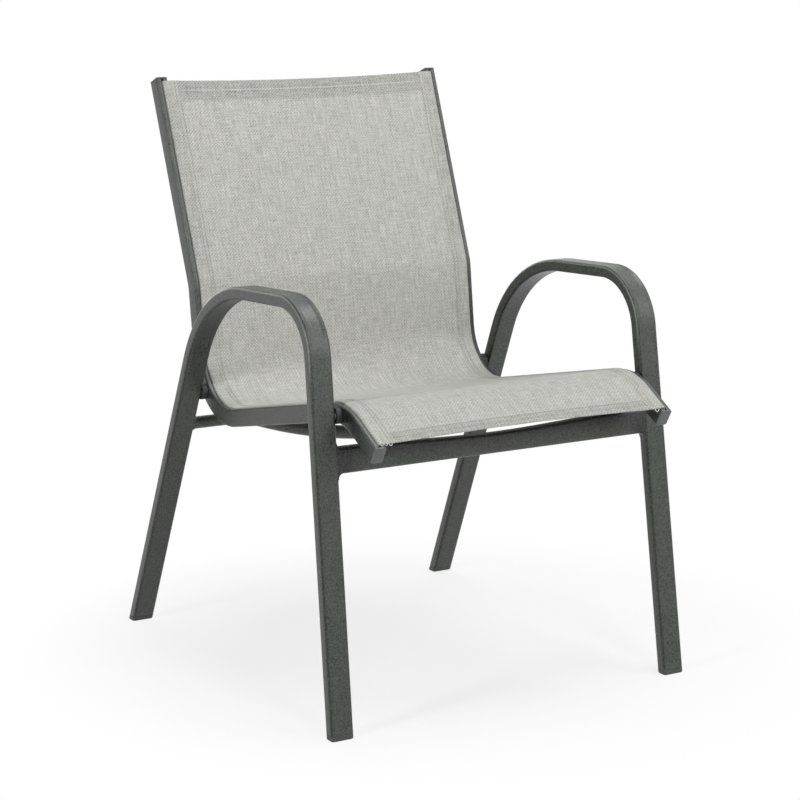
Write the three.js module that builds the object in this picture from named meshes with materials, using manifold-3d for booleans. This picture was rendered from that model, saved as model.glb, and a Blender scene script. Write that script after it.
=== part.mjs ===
// Stacking patio chair. Two bent tube side frames make the legs and the arms.
// Between them hangs a bent seat frame, with a woven sling stretched between its slotted rails.
// Millimetres, +Z up. The chair faces -Y and stands on z = 0, with the origin
// under the middle of its outline. Left and right are as seen from the front.

import * as THREE from "three";
import { mergeVertices } from "three/addons/utils/BufferGeometryUtils.js";
import Module from "manifold-3d";

// Fits
const seatGap = 0.3; // between pieces that are seated, pushed in or welded
const cutOverrun = 2; // how far a cutter runs past what it cuts

// Side frames
const outerWidth = 600; // over the feet
const sideLeanShare = 0.018; // how far a side leans in, of its height
const tubeWidth = 35; // across the chair
const tubeThickness = 18; // in the plane of the side frame
const tubeWall = 1.5;
const tubeCorner = 4;
const footSpan = 656; // between the centre lines of a front and a rear leg at the floor
const frontRakeDegrees = 8;
const rearRakeDegrees = 24.1;
const armCornerHeight = 590; // where the centre lines of front leg and arm would meet
const armFallDegrees = 2.9;
const frontBend = 82;
const rearBend = 207;
const bendStepDegrees = 8.5; // one facet of a bend

// Foot caps
const footCapHeight = 8;
const footCapEdge = 2; // rounding of the lower edge
const footPlugLength = 22;

// Crossbars
const frontBarHeight = 35.6;
const frontBarThickness = 17;
const frontBarDrop = 60; // middle of the bar at its ends, under the front bolts
const frontBarDish = 7.6; // how far the top edge dips in the middle
const rearBarDiameter = 19;
const rearBarDrop = 51.8; // under the rear bolts

// Seat rails, measured along the face that carries the sling
const sideGap = 12.12; // between a side frame and its rail, at the rear of the seat
const railSplayShare = 0.006; // how far the rails spread, of the height above the seat
const railWidth = 18;
const railDepth = 26.6;
const railWall = 1.6;
const railCorner = 3;
const seatRearSetback = 152.3; // corner of seat and back, behind the middle of the feet
const seatRearHeight = 368.2;
const seatOverhang = 13.94; // corner of seat and front drop, before the front legs
const seatRiseDegrees = 11.9;
const seatRearBend = 85;
const frontDropLength = 99.4;
const frontDropDegrees = 29.7;
const seatFrontBend = 110;
const lowerBackLength = 193.5;
const lowerBackDegrees = 7.4; // from the vertical
const lumbarBend = 62;
const upperBackLength = 327.3;
const upperBackDegrees = 21.3; // from the vertical

// Sling and the rods in its side hems
const slingThickness = 0.8;
const slingSag = 2; // dip between the rails
const slingInset = 6.5; // from the ends of the rails
const rodDiameter = 4.5;
const slotInset = 8.8; // from the outer face of the rail to the middle of the slot
const slotLip = 1.6; // wall over the bore that holds the rod

// Rail caps
const railCapThickness = 2.5;
const railCapEdge = 0.8;
const railPlugLength = 14;

// Seat spreader
const spreaderDiameter = 20;
const spreaderReach = 172; // forward of the corner of seat and back
const spreaderBelowSeat = 22.6; // its centre at the rails, under the sling face
const spreaderBow = 36.7; // how far it bows down in the middle

// Fixings between seat frame and side frames
const boltClearance = 0.5; // under the wall of the bore that holds the rod
const boltDiameter = 6;
const boltHeadDiameter = 11;
const boltHeadHeight = 3.5;
const boltBite = 9; // length inside the threaded insert
const spacerDiameter = 23;
const insertFlangeDiameter = 13;
const insertFlange = 1;
const insertSleeveDiameter = 9;
const insertLength = 14;

// Fineness, as numbers of facets
const cornerFacets = 2;
const insideCornerFacets = 1;
const hemFacets = 8;
const roundFacets = 12;
const crossbarLayers = 13;
const spreaderLayers = 11;
const slingFacets = 4;
const edgeFacets = 2;

const radians = THREE.MathUtils.degToRad;

// Upright faces of the right-hand side frame and rail, at a height
const frameOuter = (z) => outerWidth / 2 - sideLeanShare * z;
const frameMiddle = (z) => frameOuter(z) - tubeWidth / 2;
const frameInner = (z) => frameOuter(z) - tubeWidth;
const seatHalfWidth = frameInner(seatRearHeight) - sideGap;
const railOuter = (z) => seatHalfWidth + railSplayShare * (z - seatRearHeight);
const railInner = (z) => railOuter(z) - railWidth;

// Centre lines of the legs in the side view, at a height
const frontLeg = (z) => -footSpan / 2 + Math.tan(radians(frontRakeDegrees)) * z;
const rearLeg = (z) => footSpan / 2 - Math.tan(radians(rearRakeDegrees)) * z;

// Rail section, as depths under the sling face
const boreRadius = rodDiameter / 2 + slingThickness + 2 * seatGap;
const slotWidth = 2 * slingThickness + 2 * seatGap;
const boreDepth = slotLip + boreRadius;
const chamberTop = boreDepth + boreRadius + railWall;
const chamberFloor = railDepth - railWall;
const boltDepth = chamberTop + boltClearance + boltDiameter / 2;

const wasm = await Module();
wasm.setup();

// Solids

function toSolid(geometry) {
  return new wasm.Manifold(new wasm.Mesh({
    numProp: 3,
    vertProperties: new Float32Array(geometry.attributes.position.array),
    triVerts: new Uint32Array(geometry.index.array),
  }));
}

function toGeometry(solid) {
  const mesh = solid.getMesh();
  const geometry = new THREE.BufferGeometry();
  geometry.setAttribute("position", new THREE.BufferAttribute(mesh.vertProperties, mesh.numProp));
  geometry.setIndex(new THREE.BufferAttribute(mesh.triVerts, 1));
  return geometry;
}

function joined(first, second) {
  return toGeometry(toSolid(first).add(toSolid(second)));
}

function cut(body, cutters) {
  return toGeometry(cutters.reduce((solid, cutter) => solid.subtract(toSolid(cutter)), toSolid(body)));
}

function welded(geometry) {
  geometry.deleteAttribute("normal");
  geometry.deleteAttribute("uv");
  return mergeVertices(geometry);
}

// A prism of an outline, cut into layers, with every point moved to where place puts it.
function layered(outline, layers, place) {
  const steps = layers - 1;
  const prism = new THREE.ExtrudeGeometry(outline, { depth: 1, steps, bevelEnabled: false });
  const points = prism.attributes.position;
  for (let i = 0; i < points.count; i += 1) {
    const layer = Math.round(points.getZ(i) * steps);
    points.setXYZ(i, ...place(points.getX(i), points.getY(i), layer));
  }
  return welded(prism);
}

// A turned piece with its axis along X, from [distance along the axis, radius] pairs.
function turned(profile, x, y, z) {
  const points = profile.map(([along, radius]) => new THREE.Vector2(radius, along));
  const piece = new THREE.LatheGeometry(points, roundFacets);
  piece.rotateZ(-Math.PI / 2);
  piece.translate(x, y, z);
  return welded(piece);
}

function mirrored(geometry) {
  const copy = geometry.clone();
  copy.scale(-1, 1, 1);
  const order = copy.index.array;
  for (let i = 0; i < order.length; i += 3) {
    [order[i], order[i + 1]] = [order[i + 1], order[i]];
  }
  return copy;
}

// Outlines

function arc(x, y, radius, start, end, facets) {
  return Array.from({ length: facets + 1 }, (_, i) => {
    const angle = start + (end - start) * i / facets;
    return new THREE.Vector2(x + radius * Math.cos(angle), y + radius * Math.sin(angle));
  });
}

function roundedRectangle(left, right, low, high, radius, facets = cornerFacets) {
  const quarter = Math.PI / 2;
  const corners = [[right, low, -1, 1], [right, high, -1, -1], [left, high, 1, -1], [left, low, 1, 1]];
  return new THREE.Shape(corners.flatMap(([x, y, inX, inY], i) => (
    arc(x + inX * radius, y + inY * radius, radius, (i - 1) * quarter, i * quarter, facets)
  )));
}

function rectangle(left, right, low, high) {
  const corners = [[left, low], [right, low], [right, high], [left, high]];
  return new THREE.Shape(corners.map(([x, y]) => new THREE.Vector2(x, y)));
}

function circle(x, y, radius, facets = roundFacets) {
  return new THREE.Shape(arc(x, y, radius, 0, 2 * Math.PI, facets).slice(1));
}

function tubeOutline(width, height, corner, wall) {
  const outline = roundedRectangle(-width / 2, width / 2, -height / 2, height / 2, corner);
  const halfWidth = width / 2 - wall;
  const halfHeight = height / 2 - wall;
  outline.holes.push(
    roundedRectangle(-halfWidth, halfWidth, -halfHeight, halfHeight, corner - wall, insideCornerFacets),
  );
  return outline;
}

function pipeOutline(diameter, wall) {
  const outline = circle(0, 0, diameter / 2);
  outline.holes.push(circle(0, 0, diameter / 2 - wall));
  return outline;
}

// Paths in the side view: straight runs with a round bend at each inner corner.
// A station is a place on the path, with the direction across it towards the inside of the chair.

function stationsAlong(corners) {
  const heading = (from, to) => Math.atan2(to.z - from.z, to.y - from.y);
  const stations = [];
  const add = (y, z, angle) => {
    stations.push({ y, z, acrossY: Math.sin(angle), acrossZ: -Math.cos(angle) });
  };
  const last = corners.length - 1;
  add(corners[0].y, corners[0].z, heading(corners[0], corners[1]));
  for (let i = 1; i < last; i += 1) {
    const start = heading(corners[i - 1], corners[i]);
    const full = heading(corners[i], corners[i + 1]) - start;
    const turn = Math.atan2(Math.sin(full), Math.cos(full));
    const side = Math.sign(turn);
    const radius = corners[i].bend;
    const setback = radius * Math.tan(Math.abs(turn) / 2);
    const centreY = corners[i].y - setback * Math.cos(start) - side * radius * Math.sin(start);
    const centreZ = corners[i].z - setback * Math.sin(start) + side * radius * Math.cos(start);
    const steps = Math.ceil(Math.abs(turn) / radians(bendStepDegrees));
    for (let step = 0; step <= steps; step += 1) {
      const angle = start + turn * step / steps;
      const y = centreY + side * radius * Math.sin(angle);
      const z = centreZ - side * radius * Math.cos(angle);
      add(y, z, angle);
    }
  }
  add(corners[last].y, corners[last].z, heading(corners[last - 1], corners[last]));
  return stations;
}

function towards(from, to, distance) {
  const share = distance / Math.hypot(to.y - from.y, to.z - from.z);
  return { y: from.y + (to.y - from.y) * share, z: from.z + (to.z - from.z) * share };
}

// Every place where two lines cross in the side view, in the order of the first line
function crossings(first, second) {
  const sections = (line) => line.slice(1).map((to, i) => (
    { from: line[i], y: to.y - line[i].y, z: to.z - line[i].z }
  ));
  const inside = (share) => share >= 0 && share < 1;
  return sections(first).flatMap((a) => sections(second).flatMap((b) => {
    const apart = { y: b.from.y - a.from.y, z: b.from.z - a.from.z };
    const turn = a.y * b.z - a.z * b.y;
    const share = (apart.y * b.z - apart.z * b.y) / turn;
    const otherShare = (apart.y * a.z - apart.z * a.y) / turn;
    const meets = inside(share) && inside(otherShare);
    return meets ? [{ y: a.from.y + a.y * share, z: a.from.z + a.z * share }] : [];
  }));
}

function shortened(corners, distance) {
  const ends = corners.length - 1;
  const first = towards(corners[0], corners[1], distance);
  const last = towards(corners[ends], corners[ends - 1], distance);
  return [first, ...corners.slice(1, ends), last];
}

// The end of a tube cut parallel to the floor
const levelled = (station) => ({ ...station, acrossY: 1 / station.acrossY, acrossZ: 0 });

// Places an outline along stations, measured sideways from an upright face
const along = (stations, face) => (x, across, layer) => {
  const { y, z, acrossY, acrossZ } = stations[layer];
  const height = z + across * acrossZ;
  return [face(height) + x, y + across * acrossY, height];
};

// Side frames

function sideFrameCorners() {
  const floorEnd = footCapHeight + seatGap;
  const fall = Math.tan(radians(armFallDegrees));
  const rearLean = Math.tan(radians(rearRakeDegrees));
  const frontY = frontLeg(armCornerHeight);
  const rearHeight = (armCornerHeight - fall * (footSpan / 2 - frontY)) / (1 - fall * rearLean);
  return [
    { y: frontLeg(floorEnd), z: floorEnd },
    { y: frontY, z: armCornerHeight, bend: frontBend },
    { y: rearLeg(rearHeight), z: rearHeight, bend: rearBend },
    { y: rearLeg(floorEnd), z: floorEnd },
  ];
}

function sideFrame(fixings) {
  const bent = stationsAlong(sideFrameCorners());
  const stations = [levelled(bent[0]), ...bent.slice(1, -1), levelled(bent[bent.length - 1])];
  const outline = tubeOutline(tubeWidth, tubeThickness, tubeCorner, tubeWall);
  const tube = layered(outline, stations.length, along(stations, frameMiddle));
  const radius = insertSleeveDiameter / 2 + seatGap;
  const length = tubeWall + 2 * cutOverrun;
  const drill = [[0, 0], [0, radius], [length, radius], [length, 0]];
  return cut(tube, fixings.map(({ y, z }) => turned(drill, frameInner(z) - cutOverrun, y, z)));
}

function footCap(leg, rakeDegrees) {
  const stretch = 1 / Math.cos(radians(rakeDegrees));
  const edge = Array.from({ length: edgeFacets + 1 }, (_, step) => {
    const angle = step / edgeFacets * Math.PI / 2;
    return { z: footCapEdge * (1 - Math.cos(angle)), inset: footCapEdge * (1 - Math.sin(angle)) };
  });
  const rings = [...edge, { z: footCapHeight, inset: 0 }];
  const skirt = layered(
    roundedRectangle(-tubeWidth / 2, tubeWidth / 2, -tubeThickness / 2, tubeThickness / 2, tubeCorner),
    rings.length,
    (x, across, layer) => {
      const { z, inset } = rings[layer];
      const narrowed = x * (1 - 2 * inset / tubeWidth);
      const thinned = across * (1 - 2 * inset / tubeThickness);
      return [frameMiddle(z) + narrowed, leg(z) + thinned * stretch, z];
    },
  );
  const plugEnds = [footCapHeight - footCapEdge, footCapHeight + seatGap + footPlugLength];
  const plugWidth = tubeWidth / 2 - tubeWall - seatGap;
  const plugThickness = tubeThickness / 2 - tubeWall - seatGap;
  const plugCorner = tubeCorner - tubeWall;
  const plug = layered(
    roundedRectangle(-plugWidth, plugWidth, -plugThickness, plugThickness, plugCorner, insideCornerFacets),
    plugEnds.length,
    (x, across, layer) => {
      const z = plugEnds[layer];
      return [frameMiddle(z) + x, leg(z) + across * stretch, z];
    },
  );
  return joined(skirt, plug);
}

// Crossbars, welded between the legs of the two side frames

function frontCrossbar(level) {
  const dishAt = (share) => frontBarDish * (1 + Math.cos(Math.PI * share)) / 2;
  const outline = tubeOutline(frontBarThickness, frontBarHeight, tubeCorner, tubeWall);
  return layered(outline, crossbarLayers, (across, up, layer) => {
    const share = 2 * layer / (crossbarLayers - 1) - 1;
    const z = level + up - (up > 0 ? dishAt(share) : 0);
    return [share * (frameInner(z) - seatGap), frontLeg(z) + across, z];
  });
}

function rearCrossbar(level) {
  const outline = pipeOutline(rearBarDiameter, tubeWall);
  const ends = [-1, 1];
  return layered(outline, ends.length, (across, up, layer) => {
    const z = level + up;
    return [ends[layer] * (frameInner(z) - seatGap), rearLeg(level) + across, z];
  });
}

// Seat frame

function railCorners() {
  const run = (from, length, degrees, bend) => ({
    y: from.y + length * Math.cos(radians(degrees)),
    z: from.z + length * Math.sin(radians(degrees)),
    bend,
  });
  const seatRear = { y: seatRearSetback, z: seatRearHeight, bend: seatRearBend };
  const lumbar = run(seatRear, lowerBackLength, 90 - lowerBackDegrees, lumbarBend);
  const top = run(lumbar, upperBackLength, 90 - upperBackDegrees);
  const rise = Math.tan(radians(seatRiseDegrees));
  const frontLean = Math.tan(radians(frontRakeDegrees));
  const reach = seatRearSetback + footSpan / 2 + seatOverhang;
  const frontHeight = (seatRearHeight + reach * rise) / (1 + frontLean * rise);
  const seatFront = { y: frontLeg(frontHeight) - seatOverhang, z: frontHeight, bend: seatFrontBend };
  const tip = run(seatFront, frontDropLength, 180 + frontDropDegrees);
  return [top, lumbar, seatRear, seatFront, tip];
}

function railOutline() {
  const halfSlot = slotWidth / 2;
  const mouth = Math.asin(halfSlot / boreRadius);
  const quarter = Math.PI / 2;
  const left = railCorner - railWidth;
  const low = railCorner - railDepth;
  const outline = new THREE.Shape([
    new THREE.Vector2(-slotInset - halfSlot, 0),
    ...arc(-slotInset, -boreDepth, boreRadius, quarter + mouth, 5 * quarter - mouth, hemFacets),
    new THREE.Vector2(-slotInset + halfSlot, 0),
    ...arc(-railCorner, -railCorner, railCorner, quarter, 0, cornerFacets),
    ...arc(-railCorner, low, railCorner, 0, -quarter, cornerFacets),
    ...arc(left, low, railCorner, -quarter, -2 * quarter, cornerFacets),
    ...arc(left, -railCorner, railCorner, 2 * quarter, quarter, cornerFacets),
  ]);
  outline.holes.push(rectangle(railWall - railWidth, -railWall, -chamberFloor, -chamberTop));
  return outline;
}

function seatRail(fixings) {
  const stations = stationsAlong(shortened(railCorners(), railCapThickness + seatGap));
  const rail = layered(railOutline(), stations.length, along(stations, railOuter));
  const radius = boltDiameter / 2 + seatGap;
  const length = railWidth + 2 * cutOverrun;
  const drill = [[0, 0], [0, radius], [length, radius], [length, 0]];
  return cut(rail, fixings.map(({ y, z }) => turned(drill, railInner(z) - cutOverrun, y, z)));
}

// A cap pushed into the end of a rail, from the end corner towards the next one
function railCap(end, next) {
  const heading = Math.atan2(end.z - next.z, end.y - next.y);
  const towardsTip = next.z > end.z;
  const flip = towardsTip ? 1 : -1;
  const across = { acrossY: flip * Math.sin(heading), acrossZ: -flip * Math.cos(heading) };
  const stationAt = (distance) => ({ ...towards(end, next, distance), ...across });
  const inOrder = (stations) => (towardsTip ? [...stations].reverse() : stations);
  const rings = inOrder([
    { ...stationAt(0), inset: railCapEdge },
    { ...stationAt(railCapEdge), inset: 0 },
    { ...stationAt(railCapThickness), inset: 0 },
  ]);
  const placeRing = along(rings, railOuter);
  const middle = -railWidth / 2;
  const flange = layered(
    roundedRectangle(-railWidth, 0, -railDepth, 0, railCorner),
    rings.length,
    (x, depth, layer) => {
      const { inset } = rings[layer];
      const narrowed = middle + (x - middle) * (1 - 2 * inset / railWidth);
      const thinned = -railDepth / 2 + (depth + railDepth / 2) * (1 - 2 * inset / railDepth);
      return placeRing(narrowed, thinned, layer);
    },
  );
  const plugEnds = inOrder([stationAt(railCapEdge), stationAt(railCapThickness + seatGap + railPlugLength)]);
  const side = railWall + seatGap;
  const plugOutline = rectangle(side - railWidth, -side, seatGap - chamberFloor, -seatGap - chamberTop);
  const plug = layered(plugOutline, plugEnds.length, along(plugEnds, railOuter));
  return joined(flange, plug);
}

function seatSpreader() {
  const y = seatRearSetback - spreaderReach;
  const seatLine = seatRearHeight + spreaderReach * Math.tan(radians(seatRiseDegrees));
  const endLevel = seatLine - spreaderBelowSeat;
  const halfSpan = railInner(endLevel);
  const bowRadius = (halfSpan ** 2 + spreaderBow ** 2) / (2 * spreaderBow);
  const outline = pipeOutline(spreaderDiameter, tubeWall);
  return layered(outline, spreaderLayers, (across, up, layer) => {
    const share = 2 * layer / (spreaderLayers - 1) - 1;
    const slope = Math.asin(share * halfSpan / bowRadius);
    const z = endLevel - spreaderBow + bowRadius * (1 - Math.cos(slope)) + up / Math.cos(slope);
    return [share * (railInner(z) - seatGap), y + across, z];
  });
}

// Sling: a sheet over the rails, its doubled edges going down the slots to a hem round each rod

function slingOutline() {
  const hemRadius = rodDiameter / 2 + seatGap + slingThickness;
  const mouth = Math.asin(slingThickness / hemRadius);
  const slotX = seatHalfWidth - slotInset;
  const free = seatHalfWidth - railWidth;
  const topFace = seatGap + slingThickness;
  const hem = (x) => arc(x, -boreDepth, hemRadius, Math.PI / 2 + mouth, 2.5 * Math.PI - mouth, hemFacets);
  const face = (height) => Array.from({ length: slingFacets + 1 }, (_, i) => {
    const share = 2 * i / slingFacets - 1;
    return new THREE.Vector2(free * share, height - slingSag * (1 - share ** 2));
  });
  const outline = new THREE.Shape([
    new THREE.Vector2(-slotX - slingThickness, topFace),
    ...hem(-slotX),
    new THREE.Vector2(-slotX + slingThickness, seatGap),
    ...face(seatGap),
    new THREE.Vector2(slotX - slingThickness, seatGap),
    ...hem(slotX),
    new THREE.Vector2(slotX + slingThickness, topFace),
    ...face(topFace).reverse(),
  ]);
  const pocket = hemRadius - slingThickness;
  outline.holes.push(...[-slotX, slotX].map((x) => circle(x, -boreDepth, pocket, hemFacets)));
  return outline;
}

function sling() {
  const stations = stationsAlong(shortened(railCorners(), slingInset));
  const place = along(stations, () => 0);
  return layered(slingOutline(), stations.length, (x, across, layer) => {
    const [, y, z] = place(x, across, layer);
    return [x * railOuter(z) / seatHalfWidth, y, z];
  });
}

function slingRod() {
  const stations = stationsAlong(shortened(railCorners(), slingInset));
  const outline = circle(-slotInset, -boreDepth, rodDiameter / 2, hemFacets);
  return layered(outline, stations.length, along(stations, railOuter));
}

// Fixings: a bolt from inside the rail, through a round spacer, into an insert in the side frame

// Where the bolt line inside the rail crosses the centre line of the side frame, rear leg first
function fixingPlaces() {
  const boltLine = stationsAlong(railCorners()).map(({ y, z, acrossY, acrossZ }) => (
    { y: y - boltDepth * acrossY, z: z - boltDepth * acrossZ }
  ));
  return crossings(boltLine, stationsAlong(sideFrameCorners()));
}

const insertFace = (z) => frameInner(z) - seatGap - insertFlange;

function bolt({ y, z }) {
  const start = railInner(z) - seatGap - boltHeadHeight;
  const head = boltHeadDiameter / 2;
  const shank = boltDiameter / 2;
  const length = insertFace(z) + boltBite - start;
  const headProfile = [[0, 0], [0, head], [boltHeadHeight, head], [boltHeadHeight, shank]];
  return turned([...headProfile, [length, shank], [length, 0]], start, y, z);
}

function spacer({ y, z }) {
  const start = railOuter(z) + seatGap;
  const length = insertFace(z) - seatGap - start;
  const bore = boltDiameter / 2 + seatGap;
  const rim = spacerDiameter / 2;
  return turned([[0, bore], [0, rim], [length, rim], [length, bore], [0, bore]], start, y, z);
}

function threadedInsert({ y, z }) {
  const bore = boltDiameter / 2 + seatGap;
  const rim = insertFlangeDiameter / 2;
  const sleeve = insertSleeveDiameter / 2;
  const flange = [[0, bore], [0, rim], [insertFlange, rim], [insertFlange, sleeve]];
  const profile = [...flange, [insertLength, sleeve], [insertLength, bore], [0, bore]];
  return turned(profile, insertFace(z), y, z);
}

// Finishes

function finish(color, roughness, metalness) {
  return () => new THREE.MeshStandardMaterial({ color, roughness, metalness, flatShading: true });
}

const powderCoat = finish(0x565857, 0.55, 0.25);
const wovenSling = finish(0xb9b9b3, 0.85, 0);
const darkPlastic = finish(0x3f4141, 0.6, 0);
const capPlastic = finish(0x6d6f6e, 0.55, 0);
const steel = finish(0xa8aaab, 0.35, 0.9);

// Assembly

const chair = new THREE.Group();

function addPiece(name, geometry, material) {
  const piece = new THREE.Mesh(geometry, material());
  piece.name = name;
  chair.add(piece);
}

function addPair(name, geometry, material) {
  addPiece(`${name}_left`, mirrored(geometry), material);
  addPiece(`${name}_right`, geometry, material);
}

const fixings = fixingPlaces();
const [rearFixing, frontFixing] = fixings;
const rails = railCorners();

addPair("side_frame", sideFrame(fixings), powderCoat);
addPair("foot_cap_front", footCap(frontLeg, frontRakeDegrees), darkPlastic);
addPair("foot_cap_rear", footCap(rearLeg, rearRakeDegrees), darkPlastic);
addPiece("front_crossbar", frontCrossbar(frontFixing.z - frontBarDrop), powderCoat);
addPiece("rear_crossbar", rearCrossbar(rearFixing.z - rearBarDrop), powderCoat);
addPair("seat_rail", seatRail(fixings), powderCoat);
addPair("rail_top_cap", railCap(rails[0], rails[1]), darkPlastic);
addPair("rail_front_cap", railCap(rails[4], rails[3]), capPlastic);
addPiece("seat_spreader", seatSpreader(), powderCoat);
addPiece("sling", sling(), wovenSling);
addPair("sling_rod", slingRod(), darkPlastic);

for (const [place, fixing] of [["front", frontFixing], ["rear", rearFixing]]) {
  addPair(`spacer_${place}`, spacer(fixing), darkPlastic);
  addPair(`bolt_${place}`, bolt(fixing), steel);
  addPair(`threaded_insert_${place}`, threadedInsert(fixing), steel);
}

// The origin is under the middle of the outline, between the rail tips and the rear feet
const rearReach = footSpan / 2 + tubeThickness / 2 / Math.cos(radians(rearRakeDegrees));
chair.position.y = -(rearReach + rails[4].y) / 2;

export default chair;
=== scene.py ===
# A stacking patio chair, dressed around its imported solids. Every tube, cap and fixing is made again
# with smooth bends and finishes, and the sling with its hems, stitching and weave.
# Sizes are in millimetres, in the frame of the solids, and turned into metres as a mesh is made.

from math import asin, atan2, ceil, copysign, cos, dist, exp, hypot, pi, radians, remainder, sin, sqrt, tan

import bmesh
import bpy
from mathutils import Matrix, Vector, noise


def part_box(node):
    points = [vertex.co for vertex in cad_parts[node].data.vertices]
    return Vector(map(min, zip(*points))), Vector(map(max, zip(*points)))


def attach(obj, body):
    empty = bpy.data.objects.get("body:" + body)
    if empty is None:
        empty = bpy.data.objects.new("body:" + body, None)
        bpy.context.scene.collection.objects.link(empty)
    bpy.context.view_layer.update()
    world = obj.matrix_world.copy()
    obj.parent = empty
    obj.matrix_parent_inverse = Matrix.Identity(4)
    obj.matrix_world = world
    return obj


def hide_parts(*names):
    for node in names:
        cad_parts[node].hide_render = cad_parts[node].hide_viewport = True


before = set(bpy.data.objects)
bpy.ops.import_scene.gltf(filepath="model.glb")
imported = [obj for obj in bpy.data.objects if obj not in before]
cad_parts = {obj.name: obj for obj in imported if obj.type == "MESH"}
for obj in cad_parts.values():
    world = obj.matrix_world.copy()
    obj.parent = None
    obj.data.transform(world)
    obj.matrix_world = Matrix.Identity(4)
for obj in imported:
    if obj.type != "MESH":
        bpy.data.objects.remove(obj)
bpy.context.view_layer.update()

MM = 0.001
FIT = 0.3  # between pieces that are seated or pushed in

# Side frames
OUTER_WIDTH = 600  # over the feet
SIDE_LEAN = 0.018  # how far a side leans in, of its height
TUBE_WIDTH = 35
TUBE_THICKNESS = 18
TUBE_CORNER = 4
TUBE_WALL = 1.5
BEND_SINK = 1.8  # how far the outer wall of the front bend falls in between its corners
SINK_POWER = 4  # how evenly it falls in across its width
BEND_FADE = 70  # how far a bend still shows along the straight runs
FOOT_SPAN = 656
FRONT_RAKE = radians(8)
REAR_RAKE = radians(24.1)
ARM_CORNER_HEIGHT = 590
ARM_FALL = radians(2.9)
FRONT_BEND = 82
REAR_BEND = 207

# Foot caps
FOOT_CAP_HEIGHT = 8
FOOT_CAP_EDGE = 2
FOOT_CAP_TURNS = (0, pi / 10, pi / 5, pi / 3.3, pi / 2)  # round that edge
FOOT_PLUG_LENGTH = 22

# Crossbars and spreader
FRONT_BAR_THICKNESS = 17
FRONT_BAR_DISH = 7.6  # how far the top edge dips in the middle
UPPER_FILLET = 7  # weld between the top edge of the bar and the legs
LOWER_FILLET = 9
REAR_FILLET = 6  # weld round the ends of the rear bar
SPREADER_FILLET = 3.5  # weld over the ends of the spreader
WELD_LAP = 3  # how far a bar runs on over the rounded corner of a leg
PAINTED_SHADE = 0.95  # how much shade is painted along the top of the front bar, under the seat, and on the outer faces of the rails beside the front legs
PAINTED_FLOOR_LIGHT = 0.07  # how much light from the floor is painted along the bottom of the front bar
PAINTED_WELD_SHADE = 1.0  # how much shade is painted beside the welds
PAINTED_WELD_SHADE_REACH = (12, 34)
REAR_BAR_PINCH = 0.9  # how far the ends of the rear bar are pressed in, to fit the legs
SPREADER_BOW = 36.7
SPREADER_LAP = 17  # how far its ends run on under the rails

# Seat rails, measured along the face that carries the sling
SIDE_GAP = 12.12  # between a side frame and its rail, at the rear of the seat
RAIL_SPLAY = 0.006  # how far the rails spread, of the height above the seat
RAIL_WIDTH = 18
RAIL_DEPTH = 26.6
RAIL_CORNER = 3
RAIL_CAP_THICKNESS = 2.5
RAIL_CAP_EDGE = 0.8
PAINTED_RAIL_SHADE_AHEAD = 15  # from a front spacer to the middle of the painted shade
PAINTED_RAIL_SHADE_REACH = (20, 85)
SEAT_REAR_SETBACK = 152.3
SEAT_REAR_HEIGHT = 368.2
SEAT_REAR_BEND = 85
SEAT_OVERHANG = 13.94
SEAT_RISE = radians(11.9)
SEAT_FRONT_BEND = 110
FRONT_DROP_LENGTH = 99.4
FRONT_DROP = radians(29.7)
LOWER_BACK_LENGTH = 193.5
LOWER_BACK = radians(7.4)
LUMBAR_BEND = 62
UPPER_BACK_LENGTH = 327.3
UPPER_BACK = radians(21.3)

# Slot and bore in the rails
SLING_THICKNESS = 0.8
ROD_DIAMETER = 4.5
SLOT_INSET = 8.8
SLOT_LIP = 1.6
SLOT_ROUNDING = 1.4
SLOT_WIDTH = 2 * SLING_THICKNESS + 2 * FIT
BORE_RADIUS = ROD_DIAMETER / 2 + SLING_THICKNESS + 2 * FIT
BORE_DEPTH = SLOT_LIP + BORE_RADIUS

# Sling
SLING_INSET = 6.5  # from the ends of the rails
SLING_SAG = 2
LAYER_STEP = 0.85  # from one layer of cloth to the next
SIDE_BAND = 25  # doubled cloth beside each slot
TOP_HEM = 33
FRONT_HEM = 20
HEM_CLEARANCE = 2  # from the folded hems to the side bands
BAND_LIFT = (-1.5, 0.5)  # from the inner edge of a side band
BAND_OVERHANG = 0.8  # how far the side bands stand past the hems
OVERHANG_FADE = (-4, 1)
TOP_DIP = 3.6  # how far tension draws the middle of the free edges back
FRONT_DIP = 7.0
DIP_REACH = 170
RIPPLES = ((0.35, 55, 120, 3), (0.15, 22, 30, 9))  # height, width, length and seed
YARN_PITCH = 1.35
SLOT_TURN = 2.2  # radius where the cloth goes down a slot
RETURN_TURN = 1.1  # radius where it comes back out
BAND_SHARES = (0.8, 0.55, 0.3, 0.12, 0)  # across the lower layer of a side band
HEM_SHARES = (0.1, 0.3, 0.5, 0.75, 1)  # along the lower layer of a hem

# Painted shade and painted highlights on the cloth, as shares of its tone
BAND_SHADE = 0.03
BACK_BAND_SHADE = 0.09  # outside the seams of the side bands, up the back
BACK_FADE = (330, 230)
OUTER_FADE = 3
TOP_HEM_SHADE = 0.18
FRONT_HEM_SHADE = 0.14
SIDE_STITCH_SHADE = 0.15
FRONT_STITCH_SHADE = 0.18
STITCH_SHADE_REACH = 0.9
RIDGE_LIGHT = 0.14
RIDGE_SHADE = 0.07
RIDGE_LIGHT_AT = (0.4, 1.4)  # place from the upper row of the top hem, and reach
RIDGE_SHADES_AT = ((-3.4, 1.6), (3.2, 1.2))

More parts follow.
